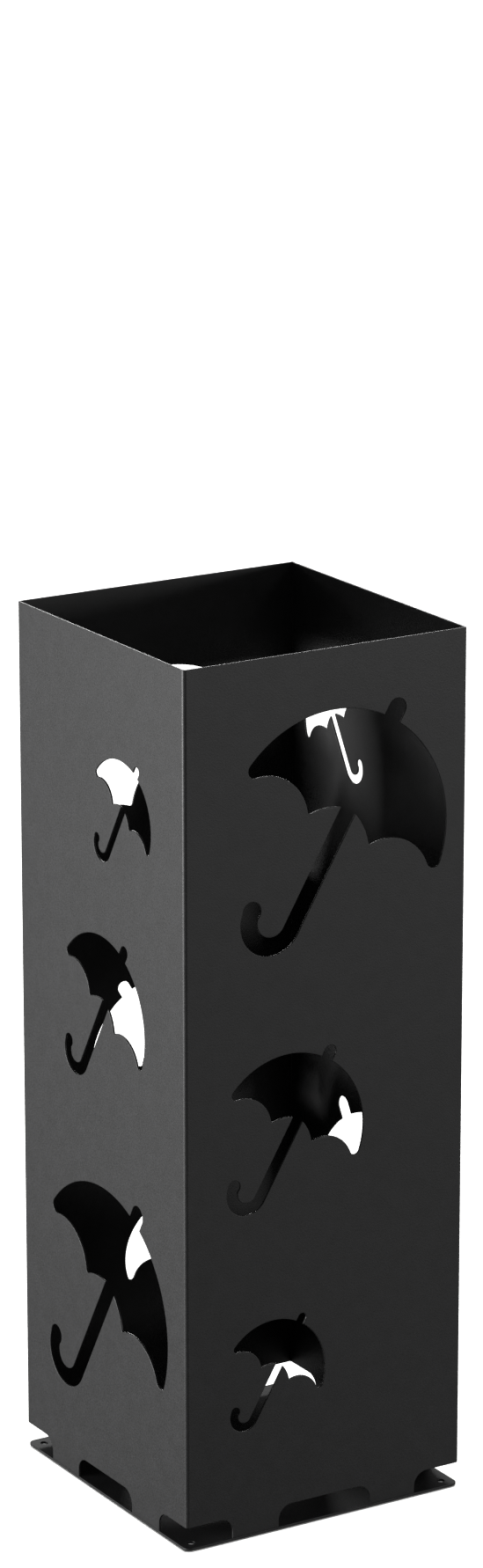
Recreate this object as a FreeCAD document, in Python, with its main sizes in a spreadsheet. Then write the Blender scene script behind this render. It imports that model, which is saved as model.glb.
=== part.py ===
"""Square sheet-steel umbrella stand with umbrella-shaped cut-outs.

One laser-cut sheet is folded into a square tube and welded at its back corner. It stands on
eight tabs, left between notches in its lower edge, and each tab is welded on the inside to a
square base plate. Four thin anti-slip pads are stuck under the plate.

Units are millimetres. +Z is up, -Y is the front face, -X is the left face, and the origin is
the centre of the footprint on the floor.
"""
import FreeCAD, Part
import math
import os
from dataclasses import dataclass

import Sketcher
from FreeCAD import Placement, Rotation, Vector

# Driving dimensions, one spreadsheet row each.
DIMENSIONS = {
    "width": 175.0,                # outside width and depth of the tube and of the plate
    "height": 490.0,               # floor to rim
    "sheet_thickness": 1.2,        # wall sheet
    "bend_radius": 2.0,            # outside radius of a folded corner
    "root_gap": 0.5,               # gap left for the weld between the two ends of the sheet
    "seam_radius": 1.0,            # outside radius of the ground seam weld
    "plate_thickness": 1.5,
    "plate_corner_radius": 4.0,
    "notch_height": 12.0,          # clear height of a notch above the plate
    "notch_radius": 8.0,           # upper corners of a notch
    "hole_diameter": 4.2,
    "hole_inset": 7.0,             # plate edge to hole centre
    "weld_leg": 2.0,
    "weld_length": 20.0,
    "pad_diameter": 16.0,
    "pad_thickness": 1.0,
    "pad_inset": 22.0,             # plate edge to pad centre
}

# The lower edge of each wall is divided into sixths: notch, tab, notch, notch, tab, notch.
EDGE_DIVISIONS = 6

# The umbrella outline, upright and at full scale, in rows of the same spreadsheet. Its origin
# is the middle of the line that joins the two canopy tips, and "high" is measured up from it.
UMBRELLA = {
    "tip_across": 64.6,            # origin to the centre of a canopy tip's rounding
    "tip_radius": 4.2,
    "dome_centre_high": -13.0,
    "cusp_across": 21.9,           # centre of the rounding between two scallops
    "cusp_high": -6.4,
    "cusp_radius": 1.2,
    "outer_scallop_radius": 27.7,
    "inner_scallop_radius": 34.7,
    "shaft_half_width": 5.1,
    "shaft_top_high": 3.3,         # where the inner scallops meet the shaft
    "ferrule_half_width": 5.5,
    "ferrule_centre_high": 63.1,
    "hook_centre_across": -13.8,
    "hook_centre_high": -67.0,
    "hook_end_radius": 5.6,
    "tilt": -30.5,                 # degrees: every umbrella leans to the right
    "large": 1.0,                  # scales of the three sizes of cut-out
    "medium": 0.667,
    "small": 0.467,
}

# Cut-outs of each wall, seen from outside it: size, distance of the outline's origin from the
# wall's left edge, and its height above the floor.
CUTOUTS = {
    "front": [("large", 99.0, 397.5), ("medium", 68.7, 232.4), ("small", 57.9, 95.5)],
    "left": [("small", 111.3, 398.9), ("medium", 90.7, 285.0), ("large", 92.4, 122.6)],
    "back": [("large", 90.0, 382.8), ("medium", 89.3, 224.1), ("small", 81.2, 103.7)],
    "right": [("small", 130.8, 410.5), ("medium", 94.0, 296.0), ("large", 86.5, 133.1)],
}

# Base plane of each wall, side of the origin it lies on, and turn that makes its sketch
# face outwards.
WALLS = {
    "front": ("XZ_Plane", 1, 0),
    "back": ("XZ_Plane", -1, 180),
    "right": ("YZ_Plane", 1, 0),
    "left": ("YZ_Plane", -1, 180),
}

# Angle about Z that carries the front wall to each wall.
WALL_ANGLE = {"front": 0, "right": 90, "back": 180, "left": 270}

CORNERS = {"front_left": (-1, -1), "front_right": (1, -1), "back_left": (-1, 1), "back_right": (1, 1)}

OVERSHOOT = 1.0                    # how far a notch's outline runs past the sheet's edges
SAME_PLACE = 1e-4                  # points closer than this are one point


# ---------------------------------------------------------------- document and sketch helpers


def make_sheet(doc):
    """Write the driving dimensions into a spreadsheet whose cells have aliases."""
    sheet = doc.addObject("Spreadsheet::Sheet", "dims")
    for row, (name, value) in enumerate({**DIMENSIONS, **UMBRELLA}.items(), start=1):
        sheet.set(f"A{row}", name)
        sheet.set(f"B{row}", str(value))
        sheet.setAlias(f"B{row}", name)
    doc.recompute()
    return sheet


def make_body(doc, label):
    """Add an empty body under its own label."""
    body = doc.addObject("PartDesign::Body", label)
    body.Label = label
    return body


def make_sketch(body, plane_role, name):
    """Add a sketch on one of the body's own origin planes."""
    sketch = body.newObject("Sketcher::SketchObject", name)
    plane = next(feature for feature in body.Origin.OriginFeatures if feature.Role == plane_role)
    sketch.AttachmentSupport = [(plane, "")]
    sketch.MapMode = "FlatFace"
    return sketch


def make_pad(body, sketch, name, length):
    """Pad a sketch by the length that an expression gives."""
    pad = body.newObject("PartDesign::Pad", name)
    pad.Profile = sketch
    pad.setExpression("Length", length)
    body.Document.recompute()
    return pad


def make_fillet(body, name, radius, places):
    """Round the vertical edges that stand at the given (x, y) places."""
    base = body.Tip
    edges = []
    for number, edge in enumerate(base.Shape.Edges, start=1):
        start, end = edge.firstVertex().Point, edge.lastVertex().Point
        foot = (start.x, start.y)
        upright = math.dist(foot, (end.x, end.y)) < SAME_PLACE
        if upright and any(math.dist(foot, place) < SAME_PLACE for place in places):
            edges.append(f"Edge{number}")
    if len(edges) != len(places):
        raise RuntimeError(f"{name}: found {len(edges)} edges for {len(places)} places")
    fillet = body.newObject("PartDesign::Fillet", name)
    fillet.Base = (base, edges)
    fillet.setExpression("Radius", radius)
    body.Document.recompute()
    return fillet


def constrain(sketch, expression, *arguments):
    """Add a sketch constraint whose value follows an expression."""
    index = sketch.addConstraint(Sketcher.Constraint(*arguments))
    sketch.setExpression(f"Constraints[{index}]", expression)


def draw_polygon(sketch, points):
    """Draw a closed polygon of level and upright sides."""
    first = sketch.GeometryCount
    count = len(points)
    for index, start in enumerate(points):
        end = points[(index + 1) % count]
        sketch.addGeometry(Part.LineSegment(Vector(*start, 0), Vector(*end, 0)))
        level = abs(start[1] - end[1]) < abs(start[0] - end[0])
        sketch.addConstraint(Sketcher.Constraint("Horizontal" if level else "Vertical", first + index))
    for index in range(count):
        following = first + (index + 1) % count
        sketch.addConstraint(Sketcher.Constraint("Coincident", first + index, 2, following, 1))


# ---------------------------------------------------------------- outlines of lines and arcs

@dataclass(frozen=True)
class Segment:
    """One stretch of an outline: a line, or an arc when it has a centre."""

    start: tuple
    end: tuple
    centre: tuple = None
    clockwise: bool = True

    def moved(self, move):
        """Return the segment with every point carried by a function."""
        centre = None if self.centre is None else move(self.centre)
        return Segment(move(self.start), move(self.end), centre, self.clockwise)

    def mirrored_back(self):
        """Return the segment's mirror image in the Y axis, run the other way."""
        flipped = self.moved(lambda point: (-point[0], point[1]))
        return Segment(flipped.end, flipped.start, flipped.centre, self.clockwise)

    def geometry(self):
        """Return the segment as sketch geometry, with its start's and end's vertex numbers."""
        if self.centre is None:
            return Part.LineSegment(Vector(*self.start, 0), Vector(*self.end, 0)), 1, 2
        circle = Part.Circle(Vector(*self.centre, 0), Vector(0, 0, 1), math.dist(self.centre, self.start))
        angles = [math.atan2(point[1] - self.centre[1], point[0] - self.centre[0])
                  for point in (self.start, self.end)]
        if self.clockwise:
            return Part.ArcOfCircle(circle, angles[1], angles[0]), 2, 1
        return Part.ArcOfCircle(circle, angles[0], angles[1]), 1, 2


def draw_outline(sketch, segments):
    """Draw a closed outline and join each segment to the next."""
    first = sketch.GeometryCount
    pieces = [segment.geometry() for segment in segments]
    for geometry, _, _ in pieces:
        sketch.addGeometry(geometry)
    for index, (_, _, end) in enumerate(pieces):
        following = (index + 1) % len(pieces)
        start = pieces[following][1]
        sketch.addConstraint(
            Sketcher.Constraint("Coincident", first + index, end, first + following, start))


def point_towards(centre, target, distance):
    """Return the point at a distance from a centre, towards a target."""
    span = math.dist(centre, target)
    return tuple(c + (t - c) * distance / span for c, t in zip(centre, target))


def meeting_point(first_centre, first_radius, second_centre, second_radius):
    """Return the lower of the two points where two circles meet."""
    span = math.dist(first_centre, second_centre)
    along = (first_radius ** 2 - second_radius ** 2 + span ** 2) / (2 * span)
    across = math.sqrt(first_radius ** 2 - along ** 2)
    unit = [(b - a) / span for a, b in zip(first_centre, second_centre)]
    foot = [a + along * u for a, u in zip(first_centre, unit)]
    points = [(foot[0] - side * across * unit[1], foot[1] + side * across * unit[0]) for side in (-1, 1)]
    return min(points, key=lambda point: point[1])


def canopy_half(dims):
    """Return the umbrella's right half, from the ferrule's side down to the shaft's top."""
    dome_centre = (0.0, dims.dome_centre_high)
    tip = (dims.tip_across, 0.0)
    cusp = (dims.cusp_across, dims.cusp_high)
    half = dims.ferrule_half_width
    dome_radius = math.dist(dome_centre, tip) + dims.tip_radius
    ferrule_foot = (half, dims.dome_centre_high + math.sqrt(dome_radius ** 2 - half ** 2))
    shaft_top = (dims.shaft_half_width, dims.shaft_top_high)
    outer_centre = meeting_point(tip, dims.outer_scallop_radius + dims.tip_radius,
                                 cusp, dims.outer_scallop_radius + dims.cusp_radius)
    inner_centre = meeting_point(cusp, dims.inner_scallop_radius + dims.cusp_radius,
                                 shaft_top, dims.inner_scallop_radius)
    tip_top = point_towards(dome_centre, tip, dome_radius)
    tip_bottom = point_towards(tip, outer_centre, dims.tip_radius)
    cusp_outer = point_towards(cusp, outer_centre, dims.cusp_radius)
    cusp_inner = point_towards(cusp, inner_centre, dims.cusp_radius)
    return [
        Segment((half, dims.ferrule_centre_high), ferrule_foot),
        Segment(ferrule_foot, tip_top, dome_centre),
        Segment(tip_top, tip_bottom, tip),
        Segment(tip_bottom, cusp_outer, outer_centre, clockwise=False),
        Segment(cusp_outer, cusp_inner, cusp),
        Segment(cusp_inner, shaft_top, inner_centre, clockwise=False),
    ]


def handle(dims):
    """Return the shaft and the hook, from the shaft's top right round to its top left."""
    half = dims.shaft_half_width
    hook_centre = (dims.hook_centre_across, dims.hook_centre_high)
    outer_radius = half - dims.hook_centre_across
    inner_radius = -half - dims.hook_centre_across
    knob = (dims.hook_centre_across - (outer_radius + inner_radius) / 2, dims.hook_centre_high)
    knob_outer = meeting_point(hook_centre, outer_radius, knob, dims.hook_end_radius)
    knob_inner = meeting_point(hook_centre, inner_radius, knob, dims.hook_end_radius)
    right_foot = (half, dims.hook_centre_high)
    left_foot = (-half, dims.hook_centre_high)
    return [
        Segment((half, dims.shaft_top_high), right_foot),
        Segment(right_foot, knob_outer, hook_centre),
        Segment(knob_outer, knob_inner, knob),
        Segment(knob_inner, left_foot, hook_centre, clockwise=False),
        Segment(left_foot, (-half, dims.shaft_top_high)),
    ]


def umbrella_outline(dims, scale, x, z):
    """Return the tilted umbrella at a scale, with its origin at (x, z)."""
    right = canopy_half(dims)
    left = [segment.mirrored_back() for segment in reversed(right)]
    ferrule_top = Segment(left[-1].end, right[0].start, (0.0, dims.ferrule_centre_high))
    cosine = scale * math.cos(math.radians(dims.tilt))
    sine = scale * math.sin(math.radians(dims.tilt))

    def move(point):
        return x + cosine * point[0] - sine * point[1], z + sine * point[0] + cosine * point[1]

    return [segment.moved(move) for segment in [ferrule_top] + right + handle(dims) + left]


def notch_outline(left, right, bottom, top, radius, rounded_left, rounded_right):
    """Return a notch that is open downwards; its upper corners are rounded where asked."""
    lift_left = radius if rounded_left else 0.0
    lift_right = radius if rounded_right else 0.0
    outline = [Segment((left, bottom), (left, top - lift_left))]
    if rounded_left:
        outline.append(Segment((left, top - radius), (left + radius, top), (left + radius, top - radius)))
    outline.append(Segment((left + lift_left, top), (right - lift_right, top)))
    if rounded_right:
        outline.append(Segment((right - radius, top), (right, top - radius), (right - radius, top - radius)))
    outline.append(Segment((right, top - lift_right), (right, bottom)))
    outline.append(Segment((right, bottom), (left, bottom)))
    return outline


# ---------------------------------------------------------------- sub-parts

def make_tube_wall(doc, dims):
    """Fold the sheet into an open square tube, then cut each wall from outside."""
    body = make_body(doc, "tube_wall")
    pad_sheet_profile(body, dims)
    outer = dims.width / 2
    inner = outer - dims.sheet_thickness
    bends = [(-1, 1), (-1, -1), (1, -1)]
    body.Tip = make_fillet(body, "outer_bends", "dims.bend_radius",
                           [(x * outer, y * outer) for x, y in bends])
    body.Tip = make_fillet(body, "inner_bends", "dims.bend_radius - dims.sheet_thickness",
                           [(x * inner, y * inner) for x, y in bends])
    for wall in WALLS:
        cut_wall(body, dims, wall)
    return body


def pad_sheet_profile(body, dims):
    """Pad the sheet's plan, which stays open at the back right corner for the seam weld."""
    outer = dims.width / 2
    inner = outer - dims.sheet_thickness
    seam = inner - dims.root_gap
    profile = make_sketch(body, "XY_Plane", "sheet_plan")
    profile.setExpression("AttachmentOffset.Base.z", "dims.pad_thickness + dims.plate_thickness")
    draw_polygon(profile, [(outer, seam), (outer, -outer), (-outer, -outer), (-outer, outer),
                           (inner, outer), (inner, inner), (-inner, inner), (-inner, -inner),
                           (inner, -inner), (inner, seam)])
    constrain(profile, "dims.width / 2", "DistanceX", 2, 1, -1, 1, outer)
    constrain(profile, "dims.width / 2", "DistanceY", 2, 1, -1, 1, outer)
    constrain(profile, "dims.width", "DistanceX", 1, 2, 1, 1, dims.width)
    constrain(profile, "dims.width", "DistanceY", 2, 1, 2, 2, dims.width)
    constrain(profile, "dims.sheet_thickness", "DistanceY", 4, 2, 4, 1, dims.sheet_thickness)
    constrain(profile, "dims.sheet_thickness", "DistanceX", 9, 1, 9, 2, dims.sheet_thickness)
    constrain(profile, "dims.sheet_thickness", "DistanceX", 3, 1, 6, 1, dims.sheet_thickness)
    constrain(profile, "dims.sheet_thickness", "DistanceY", 2, 1, 7, 1, dims.sheet_thickness)
    constrain(profile, "dims.sheet_thickness", "DistanceX", 4, 2, 0, 2, dims.sheet_thickness)
    constrain(profile, "dims.root_gap", "DistanceY", 9, 1, 4, 2, dims.root_gap)
    body.Tip = make_pad(body, profile, "sheet", "dims.height - dims.pad_thickness - dims.plate_thickness")


def cut_wall(body, dims, wall):
    """Cut one wall's three umbrellas and its notches, no deeper than the corner bends."""
    plane, side, turn = WALLS[wall]
    sketch = make_sketch(body, plane, f"{wall}_cuts")
    sketch.AttachmentOffset = Placement(Vector(0, 0, side * dims.width / 2), Rotation(Vector(0, 1, 0), turn))
    sketch.setExpression("AttachmentOffset.Base.z", f"{side} * dims.width / 2")
    for size, along, height in CUTOUTS[wall]:
        scale = getattr(dims, size)
        draw_outline(sketch, umbrella_outline(dims, scale, along - dims.width / 2, height))
    for outline in wall_notches(dims):
        draw_outline(sketch, outline)
    body.Document.recompute()
    before = body.Tip.Shape.Volume
    pocket = body.newObject("PartDesign::Pocket", f"{wall}_pocket")
    pocket.Profile = sketch
    pocket.setExpression("Length", "dims.bend_radius")
    body.Document.recompute()
    body.Tip = pocket
    if pocket.Shape.Volume >= before:
        raise RuntimeError(f"{wall}: the pocket cut nothing")


def wall_notches(dims):
    """Return the outlines of a wall's middle notch and of its two corner notches."""
    division = dims.width / EDGE_DIVISIONS
    edge = dims.width / 2
    plate_top = dims.pad_thickness + dims.plate_thickness
    top = plate_top + dims.notch_height
    bottom = plate_top - OVERSHOOT
    radius = dims.notch_radius
    return [
        notch_outline(-edge - OVERSHOOT, -edge + division, bottom, top, radius, False, True),
        notch_outline(-division, division, bottom, top, radius, True, True),
        notch_outline(edge - division, edge + OVERSHOOT, bottom, top, radius, True, False),
    ]


def make_corner_seam_weld(doc, dims):
    """Fill the open back right corner of the tube with a bead that is ground round outside."""
    body = make_body(doc, "corner_seam_weld")
    outer = dims.width / 2
    inner = outer - dims.sheet_thickness
    seam = inner - dims.root_gap
    sketch = make_sketch(body, "XY_Plane", "bead_plan")
    sketch.setExpression("AttachmentOffset.Base.z",
                         "dims.pad_thickness + dims.plate_thickness + dims.notch_height")
    draw_polygon(sketch, [(inner, seam), (outer, seam), (outer, outer), (inner, outer)])
    constrain(sketch, "dims.width / 2", "DistanceX", -1, 1, 1, 2, outer)
    constrain(sketch, "dims.width / 2", "DistanceY", -1, 1, 1, 2, outer)
    constrain(sketch, "dims.sheet_thickness", "DistanceX", 0, 1, 0, 2, dims.sheet_thickness)
    constrain(sketch, "dims.sheet_thickness + dims.root_gap", "DistanceY", 1, 1, 1, 2, outer - seam)
    length = "dims.height - dims.pad_thickness - dims.plate_thickness - dims.notch_height"
    body.Tip = make_pad(body, sketch, "bead", length)
    body.Tip = make_fillet(body, "ground_edge", "dims.seam_radius", [(outer, outer)])
    return body


def make_base_plate(doc, dims):
    """Make the square plate with rounded corners and a through hole in each corner."""
    body = make_body(doc, "base_plate")
    body.setExpression("Placement.Base.z", "dims.pad_thickness")
    outer = dims.width / 2
    sketch = make_sketch(body, "XY_Plane", "plate_plan")
    draw_polygon(sketch, [(-outer, -outer), (outer, -outer), (outer, outer), (-outer, outer)])
    constrain(sketch, "dims.width / 2", "DistanceX", 0, 1, -1, 1, outer)
    constrain(sketch, "dims.width / 2", "DistanceY", 0, 1, -1, 1, outer)
    constrain(sketch, "dims.width", "DistanceX", 0, 1, 0, 2, dims.width)
    constrain(sketch, "dims.width", "DistanceY", 1, 1, 1, 2, dims.width)
    place = outer - dims.hole_inset
    for x_side, y_side in CORNERS.values():
        add_corner_hole(sketch, dims, x_side * place, y_side * place)
    body.Tip = make_pad(body, sketch, "plate", "dims.plate_thickness")
    corners = [(x_side * outer, y_side * outer) for x_side, y_side in CORNERS.values()]
    body.Tip = make_fillet(body, "plate_corners", "dims.plate_corner_radius", corners)
    return body


def add_corner_hole(sketch, dims, x, y):
    """Draw one corner hole and tie its size and place to the driving dimensions."""
    circle = Part.Circle(Vector(x, y, 0), Vector(0, 0, 1), dims.hole_diameter / 2)
    index = sketch.addGeometry(circle)
    constrain(sketch, "dims.hole_diameter", "Diameter", index, dims.hole_diameter)
    for kind, value in (("DistanceX", x), ("DistanceY", y)):
        ends = (-1, 1, index, 3) if value > 0 else (index, 3, -1, 1)
        constrain(sketch, "dims.width / 2 - dims.hole_inset", kind, *ends, abs(value))


def make_tab_weld(doc, dims, wall, side_name, side):
    """Lay one fillet bead in the corner between a tab's inner face and the plate."""
    body = make_body(doc, f"tab_weld_{wall}_{side_name}")
    sketch = make_sketch(body, "YZ_Plane", "bead_section")
    leg = dims.weld_leg
    corners = [(0, 0), (leg, 0), (0, leg)]
    for index, start in enumerate(corners):
        sketch.addGeometry(Part.LineSegment(Vector(*start, 0), Vector(*corners[(index + 1) % 3], 0)))
    for index in range(3):
        sketch.addConstraint(Sketcher.Constraint("Coincident", index, 2, (index + 1) % 3, 1))
    sketch.addConstraint(Sketcher.Constraint("Coincident", 0, 1, -1, 1))
    sketch.addConstraint(Sketcher.Constraint("Horizontal", 0))
    sketch.addConstraint(Sketcher.Constraint("Vertical", 2))
    constrain(sketch, "dims.weld_leg", "DistanceX", 0, 1, 0, 2, leg)
    constrain(sketch, "dims.weld_leg", "DistanceY", 2, 2, 2, 1, leg)
    body.Tip = make_pad(body, sketch, "bead", "dims.weld_length")
    turn = Rotation(Vector(0, 0, 1), WALL_ANGLE[wall])
    tab_centre = side * dims.width / 4
    start = Vector(tab_centre - dims.weld_length / 2, dims.sheet_thickness - dims.width / 2,
                   dims.pad_thickness + dims.plate_thickness)
    body.Placement = Placement(turn.multVec(start), turn)
    return body


def make_pad_disc(doc, corner, x_side, y_side):
    """Stick one anti-slip disc under a corner of the plate."""
    label = f"anti_slip_pad_{corner}"
    disc = doc.addObject("Part::Cylinder", label)
    disc.Label = label
    disc.setExpression("Radius", "dims.pad_diameter / 2")
    disc.setExpression("Height", "dims.pad_thickness")
    disc.setExpression("Placement.Base.x", f"{x_side} * (dims.width / 2 - dims.pad_inset)")
    disc.setExpression("Placement.Base.y", f"{y_side} * (dims.width / 2 - dims.pad_inset)")
    return disc


# ---------------------------------------------------------------- checks and export

def check_document(doc, parts):
    """Stop if any object failed or any sub-part isn't one valid solid."""
    for item in doc.Objects:
        if "Invalid" in item.State or "Error" in item.State:
            raise RuntimeError(f"{item.Label} failed: {item.State}")
    for part in parts:
        shape = part.Shape
        if shape.isNull() or not shape.isValid() or len(shape.Solids) != 1:
            raise RuntimeError(f"{part.Label} isn't one valid solid")
        print(f"{part.Label:24s} {shape.Volume:12.1f} mm3")


def main():
    """Build every sub-part and write one STEP file for each."""
    doc = FreeCAD.newDocument("umbrella_stand")
    dims = make_sheet(doc)
    parts = [make_tube_wall(doc, dims), make_corner_seam_weld(doc, dims), make_base_plate(doc, dims)]
    for wall in WALL_ANGLE:
        for side_name, side in (("left", -1), ("right", 1)):
            parts.append(make_tab_weld(doc, dims, wall, side_name, side))
    for corner, (x_side, y_side) in CORNERS.items():
        parts.append(make_pad_disc(doc, corner, x_side, y_side))
    doc.recompute()
    check_document(doc, parts)
    os.makedirs("parts", exist_ok=True)
    for part in parts:
        part.Shape.exportStep(f"parts/{part.Label}.step")


main()
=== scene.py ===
"""Dresses a folded sheet-steel umbrella stand for a studio picture.

Lengths are metres unless a name ends in _mm. +Z is up, the front wall faces -Y and the left
wall faces -X. The frame gives the places; the sizes that shape a piece are fields of its class.
"""
from __future__ import annotations

import logging
import math
import random
from dataclasses import dataclass, field
from enum import Enum
from typing import Callable

import bpy
from mathutils import Matrix, Vector


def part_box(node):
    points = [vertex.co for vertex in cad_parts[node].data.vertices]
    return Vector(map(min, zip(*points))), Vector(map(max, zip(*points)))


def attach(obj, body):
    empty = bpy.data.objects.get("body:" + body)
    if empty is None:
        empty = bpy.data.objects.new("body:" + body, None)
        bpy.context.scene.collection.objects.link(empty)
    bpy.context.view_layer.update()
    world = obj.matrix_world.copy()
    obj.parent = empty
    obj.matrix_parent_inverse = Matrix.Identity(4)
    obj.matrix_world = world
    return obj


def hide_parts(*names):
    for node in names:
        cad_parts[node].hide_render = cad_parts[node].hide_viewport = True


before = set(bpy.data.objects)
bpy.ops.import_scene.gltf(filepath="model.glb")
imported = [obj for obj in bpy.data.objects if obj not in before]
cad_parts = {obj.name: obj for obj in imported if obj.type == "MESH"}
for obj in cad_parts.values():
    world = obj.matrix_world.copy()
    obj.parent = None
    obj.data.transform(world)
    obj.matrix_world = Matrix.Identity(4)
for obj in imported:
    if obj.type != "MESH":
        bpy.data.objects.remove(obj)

LOG = logging.getLogger("umbrella_stand")
MM = 0.001
BODY = "root"
PLATE = "laser_cut_base_plate"

# Numbers of the mix node's colour sockets: its sockets of other kinds share their names.
MIX_FROM, MIX_TO, MIX_RESULT = 6, 7, 2

Point = tuple[float, float]
Point3 = tuple[float, float, float]


# ---------------------------------------------------------------- materials

def linear(hex_colour: str, alpha: float = 1.0) -> tuple[float, float, float, float]:
    """Turn an sRGB hex colour into the linear colour that a shader takes.

    Args:
        hex_colour: Six hex digits with a leading hash.
        alpha: Opacity, passed through.

    Returns:
        Linear red, green and blue, and the alpha.
    """
    # The standard sRGB curve: a straight foot, then a power.
    channels = [int(hex_colour[place:place + 2], 16) / 255 for place in (1, 3, 5)]
    red, green, blue = (c / 12.92 if c <= 0.04045 else ((c + 0.055) / 1.055) ** 2.4 for c in channels)
    return red, green, blue, alpha


def per_metre(size_mm: float) -> float:
    """Return the texture scale that gives a pattern of that size in millimetres."""
    return 1 / (size_mm * MM)


def add_node(tree: bpy.types.NodeTree, kind: str, inputs: dict[str | int, object] | None = None,
             **settings: object) -> bpy.types.Node:
    """Add a node with its settings, socket values and incoming links.

    Args:
        tree: The node tree to add to.
        kind: The node's type name.
        inputs: Socket name or number to a value, or to the output socket that feeds it.
        **settings: Properties of the node itself.

    Returns:
        The new node.
    """
    node = tree.nodes.new(kind)
    for name, value in settings.items():
        setattr(node, name, value)
    for socket, value in (inputs or {}).items():
        if isinstance(value, bpy.types.NodeSocket):
            tree.links.new(value, node.inputs[socket])
        else:
            node.inputs[socket].default_value = value
    return node


def new_material(name: str) -> tuple[bpy.types.Material, bpy.types.NodeTree]:
    """Make an empty node material.

    Args:
        name: The finish's name.

    Returns:
        The material and its node tree.
    """
    material = bpy.data.materials.new(name)
    material.use_nodes = True
    material.node_tree.nodes.clear()
    return material, material.node_tree


@dataclass(frozen=True)
class PowderCoat:
    """Fine-texture polyester powder coat, sprayed on steel and baked.

    The baked grit gives the eye a matt, faintly sandy charcoal black, with a soft sheen where
    the light grazes it.
    """

    name: str = "fine_texture_black_powder_coat"
    dark: str = "#0f0f0f"
    light: str = "#19191a"
    roughness: float = 0.47
    roughness_spread: float = 0.08
    ior: float = 1.45
    grit_mm: float = 0.9            # real grit is about 0.3 mm: drawn coarser so that it shows
    flow_mm: float = 9.0            # slow unevenness of the baked film
    grit_height_mm: float = 0.05
    flow_height_mm: float = 0.02
    grit_detail: float = 3.0
    grit_fineness: float = 0.6
    flow_detail: float = 2.0
    tone_span: tuple[float, float] = (0.12, 0.4)    # grit times flow, at the dark and the light tone
    sheen_span: tuple[float, float] = (0.3, 0.7)    # grit, at the glossiest and the mattest

    def build(self) -> bpy.types.Material:
        """Mix the finish.

        Returns:
            The finished material.
        """
        material, tree = new_material(self.name)
        place = add_node(tree, "ShaderNodeTexCoord").outputs["Object"]
        grit = add_node(tree, "ShaderNodeTexNoise",
                        {"Vector": place, "Scale": per_metre(self.grit_mm),
                         "Detail": self.grit_detail, "Roughness": self.grit_fineness})
        flow = add_node(tree, "ShaderNodeTexNoise",
                        {"Vector": place, "Scale": per_metre(self.flow_mm), "Detail": self.flow_detail})
        blend = add_node(tree, "ShaderNodeMath", {0: grit.outputs["Fac"], 1: flow.outputs["Fac"]},
                         operation="MULTIPLY")
        spread = add_node(tree, "ShaderNodeMapRange",
                          {"Value": blend.outputs[0], "From Min": self.tone_span[0],
                           "From Max": self.tone_span[1]})
        colour = add_node(tree, "ShaderNodeMix",
                          {"Factor": spread.outputs[0], MIX_FROM: linear(self.dark),
                           MIX_TO: linear(self.light)},
                          data_type="RGBA")
        sheen = add_node(tree, "ShaderNodeMapRange",
                         {"Value": grit.outputs["Fac"],
                          "From Min": self.sheen_span[0], "From Max": self.sheen_span[1],
                          "To Min": self.roughness - self.roughness_spread,
                          "To Max": self.roughness + self.roughness_spread})
        film = add_node(tree, "ShaderNodeBump",
                        {"Height": flow.outputs["Fac"], "Distance": self.flow_height_mm * MM,
                         "Strength": 1.0})
        sand = add_node(tree, "ShaderNodeBump",
                        {"Height": grit.outputs["Fac"], "Distance": self.grit_height_mm * MM,
                         "Strength": 1.0, "Normal": film.outputs[0]})
        shader = add_node(tree, "ShaderNodeBsdfPrincipled",
                          {"Base Color": colour.outputs[MIX_RESULT], "Roughness": sheen.outputs[0],
                           "IOR": self.ior, "Metallic": 0.0, "Normal": sand.outputs[0]})
        add_node(tree, "ShaderNodeOutputMaterial", {"Surface": shader.outputs[0]})
        return material


@dataclass(frozen=True)
class DieCutRubber:
    """Die-cut sheet rubber.

    It gives the eye a dead matt black with a faint dusty grain, softer than the coat round it.
    """

    name: str = "die_cut_black_rubber"
    dark: str = "#161617"
    light: str = "#232324"
    roughness: float = 0.85
    ior: float = 1.52
    grain_mm: float = 0.8
    grain_height_mm: float = 0.04
    grain_detail: float = 4.0

    def build(self) -> bpy.types.Material:
        """Mix the finish.

        Returns:
            The finished material.
        """
        material, tree = new_material(self.name)
        place = add_node(tree, "ShaderNodeTexCoord").outputs["Object"]
        grain = add_node(tree, "ShaderNodeTexNoise",
                         {"Vector": place, "Scale": per_metre(self.grain_mm),
                          "Detail": self.grain_detail})
        colour = add_node(tree, "ShaderNodeMix",
                          {"Factor": grain.outputs["Fac"], MIX_FROM: linear(self.dark),
                           MIX_TO: linear(self.light)},
                          data_type="RGBA")
        bump = add_node(tree, "ShaderNodeBump",
                        {"Height": grain.outputs["Fac"], "Distance": self.grain_height_mm * MM,
                         "Strength": 1.0})
        shader = add_node(tree, "ShaderNodeBsdfPrincipled",
                          {"Base Color": colour.outputs[MIX_RESULT], "Roughness": self.roughness,
                           "IOR": self.ior, "Normal": bump.outputs[0]})
        add_node(tree, "ShaderNodeOutputMaterial", {"Surface": shader.outputs[0]})
        return material


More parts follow.
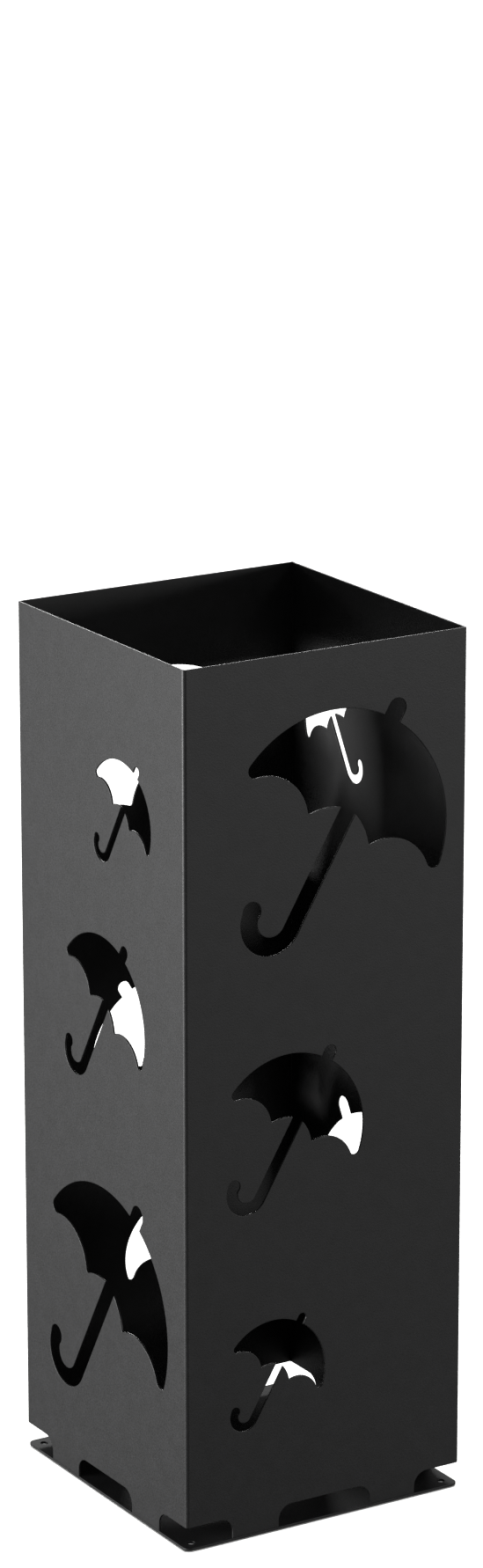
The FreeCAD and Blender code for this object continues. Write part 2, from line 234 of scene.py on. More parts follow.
@dataclass(frozen=True)
class StudioPaper:
    """Matt studio paper.

    It gives the eye a plain white ground; what it bounces on to the stand is that of grey paper.
    """

    name: str = "matt_studio_paper"
    shown: str = "#f2f2f1"
    bounced: str = "#6a6a6a"
    glow: float = 0.12              # lifts the plate's shadow a little

    def build(self) -> bpy.types.Material:
        """Mix the finish.

        Returns:
            The finished material.
        """
        material, tree = new_material(self.name)
        lit = add_node(tree, "ShaderNodeBsdfDiffuse", {"Color": linear(self.shown)})
        glow = add_node(tree, "ShaderNodeEmission", {"Color": linear(self.shown), "Strength": self.glow})
        white = add_node(tree, "ShaderNodeAddShader", {0: lit.outputs[0], 1: glow.outputs[0]})
        grey = add_node(tree, "ShaderNodeBsdfDiffuse", {"Color": linear(self.bounced)})
        ray = add_node(tree, "ShaderNodeLightPath")
        both = add_node(tree, "ShaderNodeMixShader",
                        {0: ray.outputs["Is Camera Ray"], 1: grey.outputs[0], 2: white.outputs[0]})
        add_node(tree, "ShaderNodeOutputMaterial", {"Surface": both.outputs[0]})
        return material


# ---------------------------------------------------------------- mesh helpers

def select_only(piece: bpy.types.Object) -> None:
    """Select one object and make it the active one.

    Args:
        piece: The object.
    """
    bpy.ops.object.select_all(action="DESELECT")
    piece.select_set(True)
    bpy.context.view_layer.objects.active = piece


def move_points(piece: bpy.types.Object, move: Callable[[Vector], Vector]) -> None:
    """Carry every point of a mesh by a function.

    Args:
        piece: The piece whose mesh is changed.
        move: Gives a point's new place from its old one.
    """
    for vertex in piece.data.vertices:
        vertex.co = move(vertex.co)
    piece.data.update()


def apply_modifier(piece: bpy.types.Object, kind: str, **settings: object) -> None:
    """Add a modifier to the active piece, set it and apply it.

    Args:
        piece: The active piece.
        kind: The modifier's type name.
        **settings: Properties of the modifier, set in the order given.
    """
    bpy.ops.object.modifier_add(type=kind)
    modifier = piece.modifiers[-1]
    for name, value in settings.items():
        setattr(modifier, name, value)
    bpy.ops.object.modifier_apply(modifier=modifier.name)


def score(piece: bpy.types.Object, places: list[Point3], facing: Point3) -> None:
    """Cut a mesh along parallel planes and keep both sides of each cut.

    Args:
        piece: The piece.
        places: A point on each plane.
        facing: The direction that all the planes face.
    """
    select_only(piece)
    bpy.ops.object.mode_set(mode="EDIT")
    for place in places:
        bpy.ops.mesh.select_all(action="SELECT")
        bpy.ops.mesh.bisect(plane_co=place, plane_no=facing)
    bpy.ops.object.mode_set(mode="OBJECT")


def smooth_and_weight(piece: bpy.types.Object, angle_deg: float = 35.0) -> None:
    """Shade round edges smoothly while the flat faces keep flat normals.

    Args:
        piece: The piece.
        angle_deg: Edges sharper than this stay sharp.
    """
    select_only(piece)
    bpy.ops.object.shade_smooth_by_angle(angle=math.radians(angle_deg))
    apply_modifier(piece, "WEIGHTED_NORMAL", keep_sharp=True)


def close_and_orient(piece: bpy.types.Object, reach: float = 0.002 * MM) -> None:
    """Merge doubled points, then turn every face outwards.

    Args:
        piece: The piece.
        reach: Points closer than this become one.
    """
    select_only(piece)
    bpy.ops.object.mode_set(mode="EDIT")
    bpy.ops.mesh.select_all(action="SELECT")
    bpy.ops.mesh.remove_doubles(threshold=reach)
    bpy.ops.mesh.normals_make_consistent(inside=False)
    bpy.ops.object.mode_set(mode="OBJECT")


def dress(piece: bpy.types.Object, material: bpy.types.Material, slot: str, *nodes: str) -> None:
    """Give a piece its material and hand it to the frame in place of CAD nodes.

    Args:
        piece: The finished piece.
        material: Its material.
        slot: The record's material slot for the piece; not used.
        *nodes: The CAD nodes that the piece stands for.
    """
    piece.data.materials.clear()
    piece.data.materials.append(material)
    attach(piece, BODY)
    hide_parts(*nodes)
    LOG.info("%s: %d faces", piece.name, len(piece.data.polygons))


# ---------------------------------------------------------------- laser-cut outlines

class Turn(Enum):
    """Which way an arc runs."""

    CLOCKWISE = -1
    ANTICLOCKWISE = 1


@dataclass
class Outline:
    """A closed outline, drawn as lines and arcs in millimetres."""

    points: list[Point] = field(default_factory=list)
    chord_error_mm: float = 0.006
    fewest_steps: int = 3
    coarsest_cosine: float = 0.9    # of half a step round the smallest arcs

    def line_to(self, *targets: Point) -> Outline:
        """Run straight to each target in turn."""
        self.points += targets
        return self

    def arc_to(self, centre: Point, target: Point, turn: Turn) -> Outline:
        """Run round a centre to the target.

        Args:
            centre: The arc's centre.
            target: Where the arc ends.
            turn: Which way it runs.

        Returns:
            The outline itself.
        """
        start = self.points[-1]
        radius = math.dist(centre, start)
        first = math.atan2(start[1] - centre[1], start[0] - centre[0])
        last = math.atan2(target[1] - centre[1], target[0] - centre[0])
        sweep = (last - first) * turn.value % math.tau
        step = 2 * math.acos(max(self.coarsest_cosine, 1 - self.chord_error_mm / radius))
        count = max(self.fewest_steps, math.ceil(sweep / step))
        for index in range(1, count):
            angle = first + turn.value * sweep * index / count
            self.points.append((centre[0] + radius * math.cos(angle), centre[1] + radius * math.sin(angle)))
        self.points.append(target)
        return self


def towards(centre: Point, target: Point, distance: float) -> Point:
    """Return the point at a distance from a centre, towards a target."""
    span = math.dist(centre, target)
    return (centre[0] + (target[0] - centre[0]) * distance / span,
            centre[1] + (target[1] - centre[1]) * distance / span)


def lower_meeting(first: Point, first_radius: float, second: Point, second_radius: float) -> Point:
    """Return the lower of the two points where two circles meet.

    Args:
        first: Centre of the first circle.
        first_radius: Its radius.
        second: Centre of the second circle.
        second_radius: Its radius.

    Returns:
        The meeting point with the smaller second coordinate.
    """
    span = math.dist(first, second)
    along = (first_radius ** 2 - second_radius ** 2 + span ** 2) / (2 * span)
    across = math.sqrt(first_radius ** 2 - along ** 2)
    unit = ((second[0] - first[0]) / span, (second[1] - first[1]) / span)
    foot = (first[0] + along * unit[0], first[1] + along * unit[1])
    choices = [(foot[0] - side * across * unit[1], foot[1] + side * across * unit[0]) for side in (-1, 1)]
    return min(choices, key=lambda point: point[1])


@dataclass
class UmbrellaCut:
    """The umbrella-shaped cut-out, upright and at full scale, in millimetres.

    Its origin is the middle of the line that joins the two canopy tips.
    """

    tip: Point = (64.6, 0.0)
    tip_radius: float = 4.2
    dome_centre: Point = (0.0, -13.0)
    cusp: Point = (21.9, -6.4)
    cusp_radius: float = 1.2
    outer_scallop_radius: float = 27.7
    inner_scallop_radius: float = 34.7
    shaft_half_width: float = 5.1
    shaft_top: float = 3.3
    ferrule_half_width: float = 5.5
    ferrule_centre: Point = (0.0, 63.1)
    hook_centre: Point = (-13.8, -67.0)
    hook_end_radius: float = 5.6
    tilt_deg: float = -30.5

    def canopy_half(self) -> list[Point]:
        """Draw the right half of the canopy.

        Returns:
            Its points, from the ferrule's top to the shaft's top.
        """
        dome_radius = math.dist(self.dome_centre, self.tip) + self.tip_radius
        half = self.ferrule_half_width
        crown = (0.0, self.ferrule_centre[1] + half)
        ferrule_foot = (half, self.dome_centre[1] + math.sqrt(dome_radius ** 2 - half ** 2))
        shaft_top = (self.shaft_half_width, self.shaft_top)
        outer = lower_meeting(self.tip, self.outer_scallop_radius + self.tip_radius,
                              self.cusp, self.outer_scallop_radius + self.cusp_radius)
        inner = lower_meeting(self.cusp, self.inner_scallop_radius + self.cusp_radius,
                              shaft_top, self.inner_scallop_radius)
        path = Outline([crown])
        path.arc_to(self.ferrule_centre, (half, self.ferrule_centre[1]), Turn.CLOCKWISE)
        path.line_to(ferrule_foot)
        path.arc_to(self.dome_centre, towards(self.dome_centre, self.tip, dome_radius), Turn.CLOCKWISE)
        path.arc_to(self.tip, towards(self.tip, outer, self.tip_radius), Turn.CLOCKWISE)
        path.arc_to(outer, towards(self.cusp, outer, self.cusp_radius), Turn.ANTICLOCKWISE)
        path.arc_to(self.cusp, towards(self.cusp, inner, self.cusp_radius), Turn.CLOCKWISE)
        path.arc_to(inner, shaft_top, Turn.ANTICLOCKWISE)
        return path.points

    def handle(self) -> list[Point]:
        """Draw the shaft's hook.

        Returns:
            Its points, from the shaft's right side round to its left side.
        """
        hook_x, hook_y = self.hook_centre
        half = self.shaft_half_width
        knob = (2 * hook_x, hook_y)
        knob_outer = lower_meeting(self.hook_centre, half - hook_x, knob, self.hook_end_radius)
        knob_inner = lower_meeting(self.hook_centre, -half - hook_x, knob, self.hook_end_radius)
        path = Outline([(half, hook_y)])
        path.arc_to(self.hook_centre, knob_outer, Turn.CLOCKWISE)
        path.arc_to(knob, knob_inner, Turn.CLOCKWISE)
        path.arc_to(self.hook_centre, (-half, hook_y), Turn.ANTICLOCKWISE)
        return path.points

    def outline(self, scale: float, across: float, height: float) -> Outline:
        """Draw the tilted cut-out at its place on the flat sheet.

        Args:
            scale: Size against the largest cut-out.
            across: Where its origin lies along the sheet, in millimetres.
            height: Height of its origin above the floor, in millimetres.

        Returns:
            The closed outline.
        """
        right = self.canopy_half()
        left = [(-x, y) for x, y in reversed(right[1:])]
        cosine = scale * math.cos(math.radians(self.tilt_deg))
        sine = scale * math.sin(math.radians(self.tilt_deg))
        upright = right + self.handle() + left
        return Outline([(across + cosine * x - sine * y, height + sine * x + cosine * y) for x, y in upright])


ROUNDED_EDGE_STEPS = 2


def cut_blank(name: str, outlines: list[Outline], thickness_mm: float, edge_mm: float) -> bpy.types.Object:
    """Cut a flat sheet by its outlines, with its edges rounded as a baked coat leaves them.

    Args:
        name: The piece's name.
        outlines: The rim first, then every hole.
        thickness_mm: The sheet's thickness.
        edge_mm: Radius of the rounded edges.

    Returns:
        A closed mesh that lies in the XY plane, centred on it.
    """
    curve = bpy.data.curves.new(name, "CURVE")
    curve.dimensions = "2D"
    curve.fill_mode = "BOTH"
    curve.extrude = (thickness_mm / 2 - edge_mm) * MM
    curve.bevel_depth = edge_mm * MM
    curve.bevel_resolution = ROUNDED_EDGE_STEPS
    curve.offset = -edge_mm * MM
    for outline in outlines:
        spline = curve.splines.new("POLY")
        spline.points.add(len(outline.points) - 1)
        for point, (x, y) in zip(spline.points, outline.points):
            point.co = (x * MM, y * MM, 0.0, 1.0)
        spline.use_cyclic_u = True
    piece = bpy.data.objects.new(name, curve)
    bpy.context.scene.collection.objects.link(piece)
    select_only(piece)
    bpy.ops.object.convert(target="MESH")
    close_and_orient(piece)
    return piece


# ---------------------------------------------------------------- the folded wall

class Wall(Enum):
    """The four walls, in the order in which the flat sheet holds them."""

    BACK = 0
    LEFT = 1
    FRONT = 2
    RIGHT = 3

    def place(self, across: float, inward: float, half_width: float) -> Point:
        """Find a point of this wall in plan.

        Args:
            across: Distance from the wall's left edge, seen from outside.
            inward: Depth below the outer face.
            half_width: Half the width of the stand.

        Returns:
            The point's x and y.
        """
        x, y = across - half_width, inward - half_width
        return {Wall.FRONT: (x, y), Wall.RIGHT: (-y, x), Wall.BACK: (-x, -y), Wall.LEFT: (y, -x)}[self]


class CutSize(Enum):
    """The three sizes of cut-out, against the largest."""

    LARGE = 1.0
    MEDIUM = 0.667
    SMALL = 0.467


CutPlace = tuple[CutSize, float, float]


def wall_cuts() -> dict[Wall, tuple[CutPlace, ...]]:
    """List every wall's cut-outs.

    Returns:
        For each wall, the size of each cut-out, its distance from the wall's left edge and its
        height above the floor, in millimetres.
    """
    large, medium, small = CutSize.LARGE, CutSize.MEDIUM, CutSize.SMALL
    return {
        Wall.FRONT: ((large, 99.0, 397.5), (medium, 68.7, 232.4), (small, 57.9, 95.5)),
        Wall.LEFT: ((small, 111.3, 398.9), (medium, 90.7, 285.0), (large, 92.4, 122.6)),
        Wall.BACK: ((large, 90.0, 382.8), (medium, 89.3, 224.1), (small, 81.2, 103.7)),
        Wall.RIGHT: ((small, 130.8, 410.5), (medium, 94.0, 296.0), (large, 86.5, 133.1)),
    }


@dataclass
class FoldedWall:
    """The square tube: one laser-cut sheet with twelve cut-outs, folded three times."""

    coat: bpy.types.Material
    sheet_mm: float = 1.2
    bend_mm: float = 2.0            # outside radius of a fold
    edge_mm: float = 0.35           # softened by the coat
    root_gap_mm: float = 0.5
    notch_height_mm: float = 12.0
    notch_radius_mm: float = 8.0
    edge_divisions: int = 6
    fold_steps: int = 8
    cut: UmbrellaCut = field(default_factory=UmbrellaCut)
    cuts: dict[Wall, tuple[CutPlace, ...]] = field(default_factory=wall_cuts)
    width_mm: float = field(init=False)
    foot_mm: float = field(init=False)
    rim_mm: float = field(init=False)

    def __post_init__(self) -> None:
        """Take the wall's width and heights from the frame."""
        low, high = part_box("tube_wall")
        self.width_mm = (high.x - low.x) / MM
        self.foot_mm = low.z / MM
        self.rim_mm = high.z / MM

    def rim_outline(self) -> Outline:
        """Draw the flat sheet's outer edge.

        Returns:
            The outline, with the notches and tabs along its foot.
        """
        width, foot = self.width_mm, self.foot_mm
        top = foot + self.notch_height_mm
        radius = self.notch_radius_mm
        division = width / self.edge_divisions
        start, end = self.sheet_mm, len(Wall) * width - self.sheet_mm - self.root_gap_mm
        path = Outline([(start, self.rim_mm)])
        path.line_to((end, self.rim_mm), (end, top))
        for wall in reversed(Wall):
            for left_edge in (4 * division, division):      # the right tab, then the left one
                left = wall.value * width + left_edge
                right = left + division
                path.line_to((right + radius, top))
                path.arc_to((right + radius, top - radius), (right, top - radius), Turn.ANTICLOCKWISE)
                path.line_to((right, foot), (left, foot), (left, top - radius))
                path.arc_to((left - radius, top - radius), (left - radius, top), Turn.ANTICLOCKWISE)
        path.line_to((start, top))
        return path

    def flat_sheet(self) -> bpy.types.Object:
        """Cut the whole sheet before it is folded.

        Returns:
            The sheet.
        """
        outlines = [self.rim_outline()]
        for wall, places in self.cuts.items():
            outlines += [self.cut.outline(size.value, wall.value * self.width_mm + across, height)
                         for size, across, height in places]
        return cut_blank("folded_wall", outlines, self.sheet_mm, self.edge_mm)

    def score_folds(self, sheet: bpy.types.Object) -> None:
        """Cut fold lines into the flat sheet, so that it can bend there.

        Args:
            sheet: The flat sheet.
        """
        shifts = [self.bend_mm * (2 * step / self.fold_steps - 1) for step in range(self.fold_steps + 1)]
        places = [((wall.value * self.width_mm + shift) * MM, 0.0, 0.0)
                  for wall in (Wall.LEFT, Wall.FRONT, Wall.RIGHT) for shift in shifts]
        score(sheet, places, (1.0, 0.0, 0.0))

    def folded(self, point: Vector) -> Vector:
        """Carry a point of the flat sheet to its place on the folded tube.

        Args:
            point: The point, with X along the sheet, Y up it and Z through it.

        Returns:
            Its place in the frame.
        """
        along, height = point.x / MM, point.y
        depth = self.sheet_mm / 2 - point.z / MM
        bend, width, half = self.bend_mm, self.width_mm, self.width_mm / 2
        nearest = round(along / width)
        offset = along - nearest * width
        if 0 < nearest < len(Wall) and abs(offset) < bend:
            angle = (offset / bend + 1) * math.pi / 4
            across = width - bend + (bend - depth) * math.sin(angle)
            inward = bend - (bend - depth) * math.cos(angle)
            x, y = Wall(nearest - 1).place(across, inward, half)
        else:
            wall = Wall(min(int(along // width), len(Wall) - 1))
            x, y = wall.place(along - wall.value * width, depth, half)
        return Vector((x * MM, y * MM, height))

    def build(self) -> None:
        """Cut, fold, shade and dress the wall."""
        sheet = self.flat_sheet()
        self.score_folds(sheet)
        move_points(sheet, self.folded)
        close_and_orient(sheet)
        smooth_and_weight(sheet)
        dress(sheet, self.coat, "powder_coat", "tube_wall")


# ---------------------------------------------------------------- welds

@dataclass
class SeamWeld:
    """The weld down the back right corner, ground round on the outside and coated over."""

    coat: bpy.types.Material
    outer_radius_mm: float = 1.0
    outer_steps: int = 6
    inner_radius_mm: float = 0.25
    inner_steps: int = 3
    ring_mm: float = 4.0            # spacing of the cross sections along the bead
    waviness_mm: float = 0.05
    plumb_error_mm: float = 0.001   # an edge that leans less than this counts as upright
    seed: int = 7

    def build(self) -> None:
        """Grind, ripple and dress the bead."""
        low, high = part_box("corner_seam_weld")
        centre, size = (low + high) / 2, high - low
        bpy.ops.object.select_all(action="DESELECT")
        bpy.ops.mesh.primitive_cube_add(size=1, location=centre, scale=size)
        bead = bpy.context.active_object
        bead.name = "ground_corner_seam"
        bpy.ops.object.transform_apply(location=True, rotation=False, scale=True)
        self.round_edges(bead, lambda x, y: x > centre.x and y > centre.y,
                         self.outer_radius_mm, self.outer_steps)
        self.round_edges(bead, lambda x, y: x < centre.x and y < centre.y,
                         self.inner_radius_mm, self.inner_steps)
        self.ripple(bead, low, high)
        close_and_orient(bead)
        smooth_and_weight(bead)
        dress(bead, self.coat, "powder_coat", "corner_seam_weld")

    def round_edges(self, bead: bpy.types.Object, wanted: Callable[[float, float], bool],
                    radius_mm: float, segments: int) -> None:
        """Bevel the upright edges whose place in plan is wanted.

        Args:
            bead: The piece.
            wanted: Says from x and y whether an edge is taken.
            radius_mm: Radius of the rounding.
            segments: Steps round it.
        """
        select_only(bead)
        bpy.ops.object.mode_set(mode="EDIT")
        bpy.ops.mesh.select_all(action="DESELECT")
        bpy.ops.object.mode_set(mode="OBJECT")
        points = bead.data.vertices
        for edge in bead.data.edges:
            one, two = (points[index].co for index in edge.vertices)
            upright = math.hypot(one.x - two.x, one.y - two.y) < self.plumb_error_mm * MM
            edge.select = upright and wanted(one.x, one.y)
        bpy.ops.object.mode_set(mode="EDIT")
        bpy.ops.mesh.bevel(offset=radius_mm * MM, segments=segments, affect="EDGES")
        bpy.ops.object.mode_set(mode="OBJECT")

    def ripple(self, bead: bpy.types.Object, low: Vector, high: Vector) -> None:
        """Cut rings along the bead and sink each by its own amount, as grinding by hand does.

        Args:
            bead: The piece.
            low: Lowest corner of the bead's box.
            high: Highest corner of the bead's box.
        """
        rings = round((high.z - low.z) / (self.ring_mm * MM))
        places = [(0.0, 0.0, low.z + (high.z - low.z) * ring / rings) for ring in range(1, rings)]
        score(bead, places, (0.0, 0.0, 1.0))
        chance = random.Random(self.seed)
        sway = [chance.uniform(-1.0, 0.0) for _ in range(rings + 1)]
        middle = (low + high) / 2

        def sink(point: Vector) -> Vector:
            """Sink a point of the outer face.

            Args:
                point: A point of the bead.

            Returns:
                Its new place.
            """
            ring = round((point.z - low.z) / (high.z - low.z) * rings)
            outward = point.x > middle.x and point.y > middle.y
            inset = sway[ring] * self.waviness_mm * MM if outward else 0.0
            return point + Vector((inset, inset, 0.0))

        move_points(bead, sink)


@dataclass
class TabWelds:
    """Eight short beads that hold the tabs to the plate, each a row of overlapping puddles."""

    coat: bpy.types.Material
    puddle_pitch_mm: float = 1.3
    puddle_radius_mm: float = 1.5
    puddle_inset_mm: float = 0.45   # from the corner into the open side
    squash: float = 0.75            # a puddle's length against its width
    puddle_sides: int = 20
    puddle_rings: int = 12
    voxel_mm: float = 0.2           # grain at which the puddles melt together
    smoothing_passes: int = 2
    uneven: float = 0.08
    seed: int = 3

    def model_bead(self, length_mm: float) -> bpy.types.Object:
        """Model one bead along X, lying in the corner of the planes Y = 0 and Z = 0.

        Args:
            length_mm: The bead's length.

        Returns:
            The bead, centred on the origin along its length.
        """
        chance = random.Random(self.seed)
        puddles = []
        count = round((length_mm - 2 * self.puddle_radius_mm) / self.puddle_pitch_mm)
        bpy.ops.object.select_all(action="DESELECT")
        for index in range(count + 1):
            radius = self.puddle_radius_mm * MM * (1 + self.uneven * chance.uniform(-1, 0))
            across = (index - count / 2) * self.puddle_pitch_mm * MM
            inset = self.puddle_inset_mm * MM
            bpy.ops.mesh.primitive_uv_sphere_add(
                segments=self.puddle_sides, ring_count=self.puddle_rings, radius=radius,
                location=(across, inset, inset), scale=(self.squash, 1, 1))
            puddles.append(bpy.context.active_object)
        select_only(puddles[0])
        for puddle in puddles:
            puddle.select_set(True)
        bpy.ops.object.join()
        bead = bpy.context.active_object
        bpy.ops.object.transform_apply(location=True, rotation=True, scale=True)
        apply_modifier(bead, "REMESH", mode="VOXEL", voxel_size=self.voxel_mm * MM)
        apply_modifier(bead, "SMOOTH", iterations=self.smoothing_passes)
        bpy.ops.object.shade_smooth()
        return bead

    def build(self) -> None:
        """Copy the bead into the corner behind every tab."""
        low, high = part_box("tab_weld_front_left")
        model = self.model_bead((high.x - low.x) / MM)
        for wall in Wall:
            for side in ("left", "right"):
                self.lay(model, wall, side)
        bpy.data.objects.remove(model)

    def lay(self, model: bpy.types.Object, wall: Wall, side: str) -> None:
        """Lay one copy of the bead behind a tab and dress it.

        Args:
            model: The bead to copy.
            wall: The tab's wall.
            side: The tab's side of the wall, seen from outside.
        """
        name = f"{wall.name.lower()}_{side}"
        low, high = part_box(f"tab_weld_{name}")
        bead = bpy.data.objects.new(f"weld_bead_{name}", model.data.copy())
        bpy.context.scene.collection.objects.link(bead)
        middle = (low + high) / 2
        root = {Wall.FRONT: (middle.x, low.y), Wall.RIGHT: (high.x, middle.y),
                Wall.BACK: (middle.x, high.y), Wall.LEFT: (low.x, middle.y)}[wall]
        quarter_turns = (wall.value - Wall.FRONT.value) % len(Wall)
        turn = Matrix.Rotation(quarter_turns * math.pi / 2, 4, "Z")
        bead.data.transform(Matrix.Translation((*root, low.z)) @ turn)
        dress(bead, self.coat, "powder_coat", f"tab_weld_{name}")


# ---------------------------------------------------------------- the base

@dataclass
class BasePlate:
    """The flat square plate with a fixing hole in each corner."""

    coat: bpy.types.Material
    corner_radius_mm: float = 4.0
    hole_diameter_mm: float = 4.2
    hole_inset_mm: float = 7.0
    edge_mm: float = 0.25

    def build(self) -> None:
        """Cut, lay and dress the plate."""
        low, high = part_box("base_plate")
        half = (high.x - low.x) / 2 / MM
        thickness = (high.z - low.z) / MM
        outlines = [self.rim(half)]
        place = half - self.hole_inset_mm
        for x, y in ((-place, -place), (place, -place), (place, place), (-place, place)):
            outlines.append(self.hole((x, y)))
        plate = cut_blank(PLATE, outlines, thickness, self.edge_mm)
        middle = (low + high) / 2
        move_points(plate, lambda point: point + middle)
        close_and_orient(plate)
        smooth_and_weight(plate)
        dress(plate, self.coat, "powder_coat", "base_plate")

    def rim(self, half: float) -> Outline:
        """Draw the plate's square edge with its rounded corners.

        Args:
            half: Half the plate's width, in millimetres.

        Returns:
            The outline.
        """
        radius = self.corner_radius_mm
        inner = half - radius
        path = Outline([(half, -inner)])
        for x, y in ((1, 1), (-1, 1), (-1, -1), (1, -1)):
            centre = (x * inner, y * inner)
            side = (centre[0] + x * radius, centre[1])
            end = (centre[0], centre[1] + y * radius)
            first, last = (side, end) if x == y else (end, side)
            path.line_to(first)
            path.arc_to(centre, last, Turn.ANTICLOCKWISE)
        path.points.pop(0)
        return path

    def hole(self, centre: Point) -> Outline:
        """Draw a round hole.

        Args:
            centre: Its centre, in millimetres.

        Returns:
            The outline.
        """
        radius = self.hole_diameter_mm / 2
        left, right = (centre[0] - radius, centre[1]), (centre[0] + radius, centre[1])
        path = Outline([left])
        path.arc_to(centre, right, Turn.CLOCKWISE)
        path.arc_to(centre, left, Turn.CLOCKWISE)
        path.points.pop()
        return path


@dataclass
class AntiSlipPads:
    """Four die-cut rubber discs under the plate, with rings pressed into their soles."""

    rubber: bpy.types.Material
    sides: int = 72
    edge_mm: float = 0.2
    edge_steps: int = 3
    edge_angle_deg: float = 60.0    # edges sharper than this are rounded
    ring_width_mm: float = 0.9
    ring_flank_mm: float = 0.15     # width of the slope between two rings
    ring_depth_mm: float = 0.25
    rings: int = 3
    sole_normal: float = -0.9       # a face that looks down more than this is the sole
    corners: tuple[str, ...] = ("front_left", "front_right", "back_left", "back_right")

    def model_disc(self, radius: float, thickness: float) -> bpy.types.Object:
        """Model one disc about the origin, its sole facing down.

        Args:
            radius: The disc's radius.
            thickness: Its thickness.

        Returns:
            The disc.
        """
        bpy.ops.object.select_all(action="DESELECT")
        bpy.ops.mesh.primitive_cylinder_add(vertices=self.sides, radius=radius, depth=thickness)
        disc = bpy.context.active_object
        self.press_rings(disc)
        apply_modifier(disc, "BEVEL", width=self.edge_mm * MM, segments=self.edge_steps,
                       limit_method="ANGLE", angle_limit=math.radians(self.edge_angle_deg))
        close_and_orient(disc)
        smooth_and_weight(disc)
        return disc

    def press_rings(self, disc: bpy.types.Object) -> None:
        """Inset the sole again and again, and sink every other ring.

        Args:
            disc: The plain disc.
        """
        select_only(disc)
        bpy.ops.object.mode_set(mode="EDIT")
        bpy.ops.mesh.select_mode(type="FACE")
        bpy.ops.mesh.select_all(action="DESELECT")
        bpy.ops.object.mode_set(mode="OBJECT")
        for face in disc.data.polygons:
            face.select = face.normal.z < self.sole_normal
        bpy.ops.object.mode_set(mode="EDIT")
        for _ in range(self.rings):
            for rise_mm in (self.ring_depth_mm, -self.ring_depth_mm):
                bpy.ops.mesh.inset(thickness=self.ring_width_mm * MM)
                bpy.ops.mesh.inset(thickness=self.ring_flank_mm * MM)
                bpy.ops.transform.translate(value=(0, 0, rise_mm * MM))
        bpy.ops.object.mode_set(mode="OBJECT")

    def build(self) -> None:
        """Stick a copy of the disc under each corner of the plate."""
        low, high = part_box(f"anti_slip_pad_{self.corners[0]}")
        model = self.model_disc((high.x - low.x) / 2, high.z - low.z)
        for corner in self.corners:
            node = f"anti_slip_pad_{corner}"
            low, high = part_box(node)
            pad = bpy.data.objects.new(f"rubber_foot_{corner}", model.data.copy())
            bpy.context.scene.collection.objects.link(pad)
            pad.data.transform(Matrix.Translation((low + high) / 2))
            dress(pad, self.rubber, "pad_rubber", node)
        bpy.data.objects.remove(model)


# ---------------------------------------------------------------- the studio

@dataclass
class PaperFloor:
    """A pale paper floor, so wide that its edge is never in the picture."""

    paper: bpy.types.Material
    radius: float = 40.0
    sides: int = 96

    def build(self) -> bpy.types.Object:
        """Lay the floor.

        Returns:
            The floor.
        """
        bpy.ops.object.select_all(action="DESELECT")
        bpy.ops.mesh.primitive_circle_add(vertices=self.sides, radius=self.radius, fill_type="NGON")
        floor = bpy.context.active_object
        floor.name = "paper_floor"
        floor.data.materials.append(self.paper)
        return floor


def collect(name: str, pieces: tuple[str, ...]) -> bpy.types.Collection:
    """Gather pieces in a collection that a light can be linked to.

    Args:
        name: Name of the collection.
        pieces: Names of the pieces.

    Returns:
        The collection.
    """
    gathered = bpy.data.collections.new(name)
    for piece in pieces:
        gathered.objects.link(bpy.data.objects[piece])
    return gathered


@dataclass
class Softbox:
    """A rectangular studio light aimed at a point."""

    name: str
    place: Point3
    aim: Point3
    size: tuple[float, float]
    watts: float
    kept_off: tuple[str, ...] = ()

    def build(self) -> None:
        """Hang the light and keep it off the pieces that it must not reach."""
        light = bpy.data.lights.new(self.name, "AREA")
        light.shape = "RECTANGLE"
        light.size, light.size_y = self.size
        light.energy = self.watts
        lamp = bpy.data.objects.new(self.name, light)
        bpy.context.scene.collection.objects.link(lamp)
        lamp.location = self.place
        direction = Vector(self.aim) - Vector(self.place)
        lamp.rotation_euler = direction.to_track_quat("-Z", "Y").to_euler()
        lamp.visible_camera = False
        if self.kept_off:
            spared = collect(f"kept_off_{self.name}", self.kept_off)
            for entry in spared.collection_objects:
                entry.light_linking.link_state = "EXCLUDE"
            lamp.light_linking.receiver_collection = spared


@dataclass
class FloorLamp:
    """A slanting lamp that whitens only the paper; of the stand, only the plate shades it."""

    spread_deg: float = 14.0
    slant_deg: float = 35.0
    turn_deg: float = -31.0
    strength: float = 4.0

    def build(self, floor: bpy.types.Object) -> None:
        """Hang the lamp.

        Args:
            floor: The paper that it lights.
        """
        light = bpy.data.lights.new("floor_lamp", "SUN")
        light.energy = self.strength
        light.angle = math.radians(self.spread_deg)
        lamp = bpy.data.objects.new("floor_lamp", light)
        bpy.context.scene.collection.objects.link(lamp)
        lamp.rotation_euler = (math.radians(self.slant_deg), 0.0, math.radians(self.turn_deg))
        lamp.light_linking.receiver_collection = collect("lit_by_floor_lamp", (floor.name,))
        lamp.light_linking.blocker_collection = collect("shading_floor_lamp", (PLATE,))


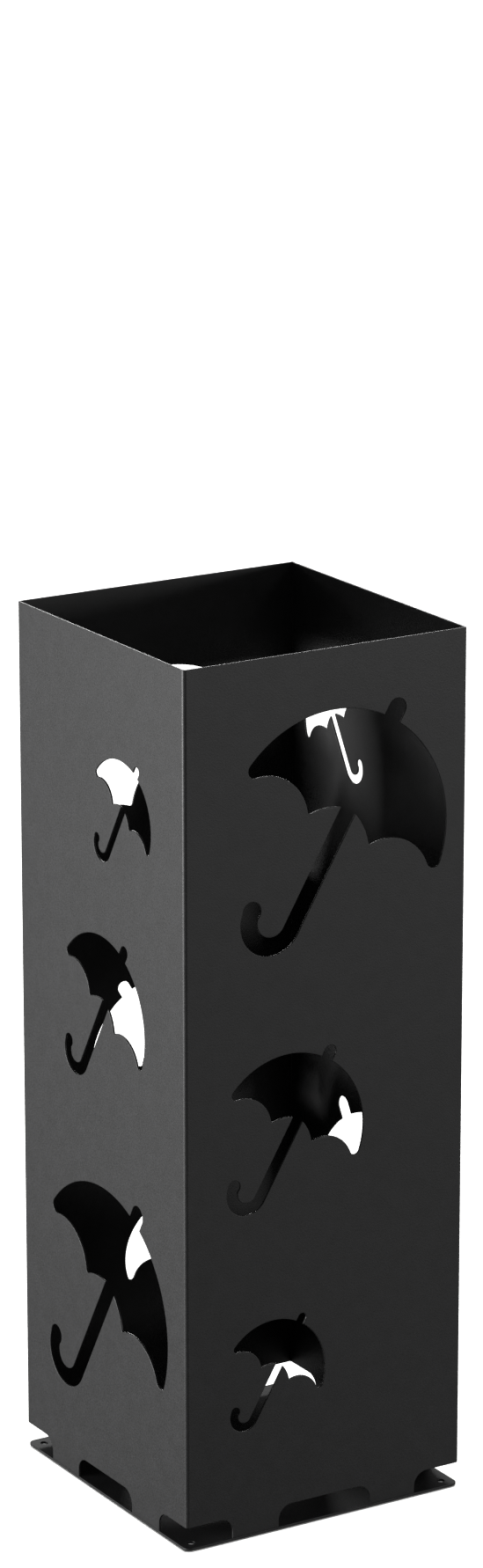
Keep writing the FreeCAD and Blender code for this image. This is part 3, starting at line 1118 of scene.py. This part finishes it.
@dataclass
class Studio:
    """Camera, lights and surroundings.

    Each softbox below gives its name, its place, the point that it is aimed at, its size, its
    power and, for two of them, the piece that it is kept off.
    """

    azimuth_deg: float = -31.38
    elevation_deg: float = 15.836
    distance: float = 2.8737
    aim: Point3 = (0.0005, -0.0003, 0.3956)
    roll_deg: float = -0.038
    lens_mm: float = 122.6
    sensor_mm: float = 36.0
    ambient: float = 0.17
    lights: tuple[Softbox, ...] = (
        Softbox("left_softbox", (-2.6, 0.8, 0.26), (0.0, 0.0, 0.30), (1.6, 0.5), 147.0),
        Softbox("back_right_softbox", (1.9, 3.0, 0.3), (0.0, 0.0, 0.25), (1.6, 0.5), 70.0, (PLATE,)),
        Softbox("front_softbox", (6.0, -7.2, 0.6), (0.0, 0.0, 0.2), (4.8, 1.2), 245.0),
        Softbox("well_fill", (1.5, -2.2, 2.0), (0.0, 0.0, 0.45), (0.8, 0.5), 6.0),
        Softbox("back_softbox", (0.9, 2.8, 2.6), (0.0, 0.0, 0.45), (1.4, 0.5), 42.0),
        Softbox("rim_strip", (0.4, 0.95, 0.76), (0.0, 0.0, 0.49), (1.3, 0.18), 8.0, (PLATE,)),
    )

    def build(self) -> None:
        """Set up the surroundings, the lights and the camera."""
        floor = PaperFloor(StudioPaper().build()).build()
        FloorLamp().build(floor)
        for light in self.lights:
            light.build()
        self.surround()
        bpy.context.scene.view_settings.view_transform = "Standard"
        self.place_camera()

    def surround(self) -> None:
        """Show a white surround that gives the stand only a little light."""
        world = bpy.data.worlds.new("studio")
        world.use_nodes = True
        tree = world.node_tree
        tree.nodes.clear()
        shown = add_node(tree, "ShaderNodeBackground", {"Color": linear("#ffffff"), "Strength": 1.0})
        given = add_node(tree, "ShaderNodeBackground", {"Color": linear("#ffffff"), "Strength": self.ambient})
        ray = add_node(tree, "ShaderNodeLightPath")
        both = add_node(tree, "ShaderNodeMixShader",
                        {0: ray.outputs["Is Camera Ray"], 1: given.outputs[0], 2: shown.outputs[0]})
        add_node(tree, "ShaderNodeOutputWorld", {"Surface": both.outputs[0]})
        bpy.context.scene.world = world

    def place_camera(self) -> None:
        """Aim the camera and make it the scene's own."""
        data = bpy.data.cameras.new("studio_camera")
        data.sensor_fit = "VERTICAL"
        data.sensor_height = self.sensor_mm
        data.lens = self.lens_mm
        camera = bpy.data.objects.new("studio_camera", data)
        bpy.context.scene.collection.objects.link(camera)
        azimuth, elevation = math.radians(self.azimuth_deg), math.radians(self.elevation_deg)
        back = Vector((math.sin(azimuth) * math.cos(elevation), -math.cos(azimuth) * math.cos(elevation),
                       math.sin(elevation)))
        camera.location = Vector(self.aim) + self.distance * back
        roll = Matrix.Rotation(math.radians(self.roll_deg), 3, "Z")
        camera.rotation_euler = (back.to_track_quat("Z", "Y").to_matrix() @ roll).to_euler()
        bpy.context.scene.camera = camera


def main() -> None:
    """Build every sub-assembly, then the studio."""
    logging.basicConfig(level=logging.INFO, format="%(message)s")
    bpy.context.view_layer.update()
    coat = PowderCoat().build()
    FoldedWall(coat).build()
    SeamWeld(coat).build()
    BasePlate(coat).build()
    TabWelds(coat).build()
    AntiSlipPads(DieCutRubber().build()).build()
    Studio().build()


if __name__ == "__main__":
    main()
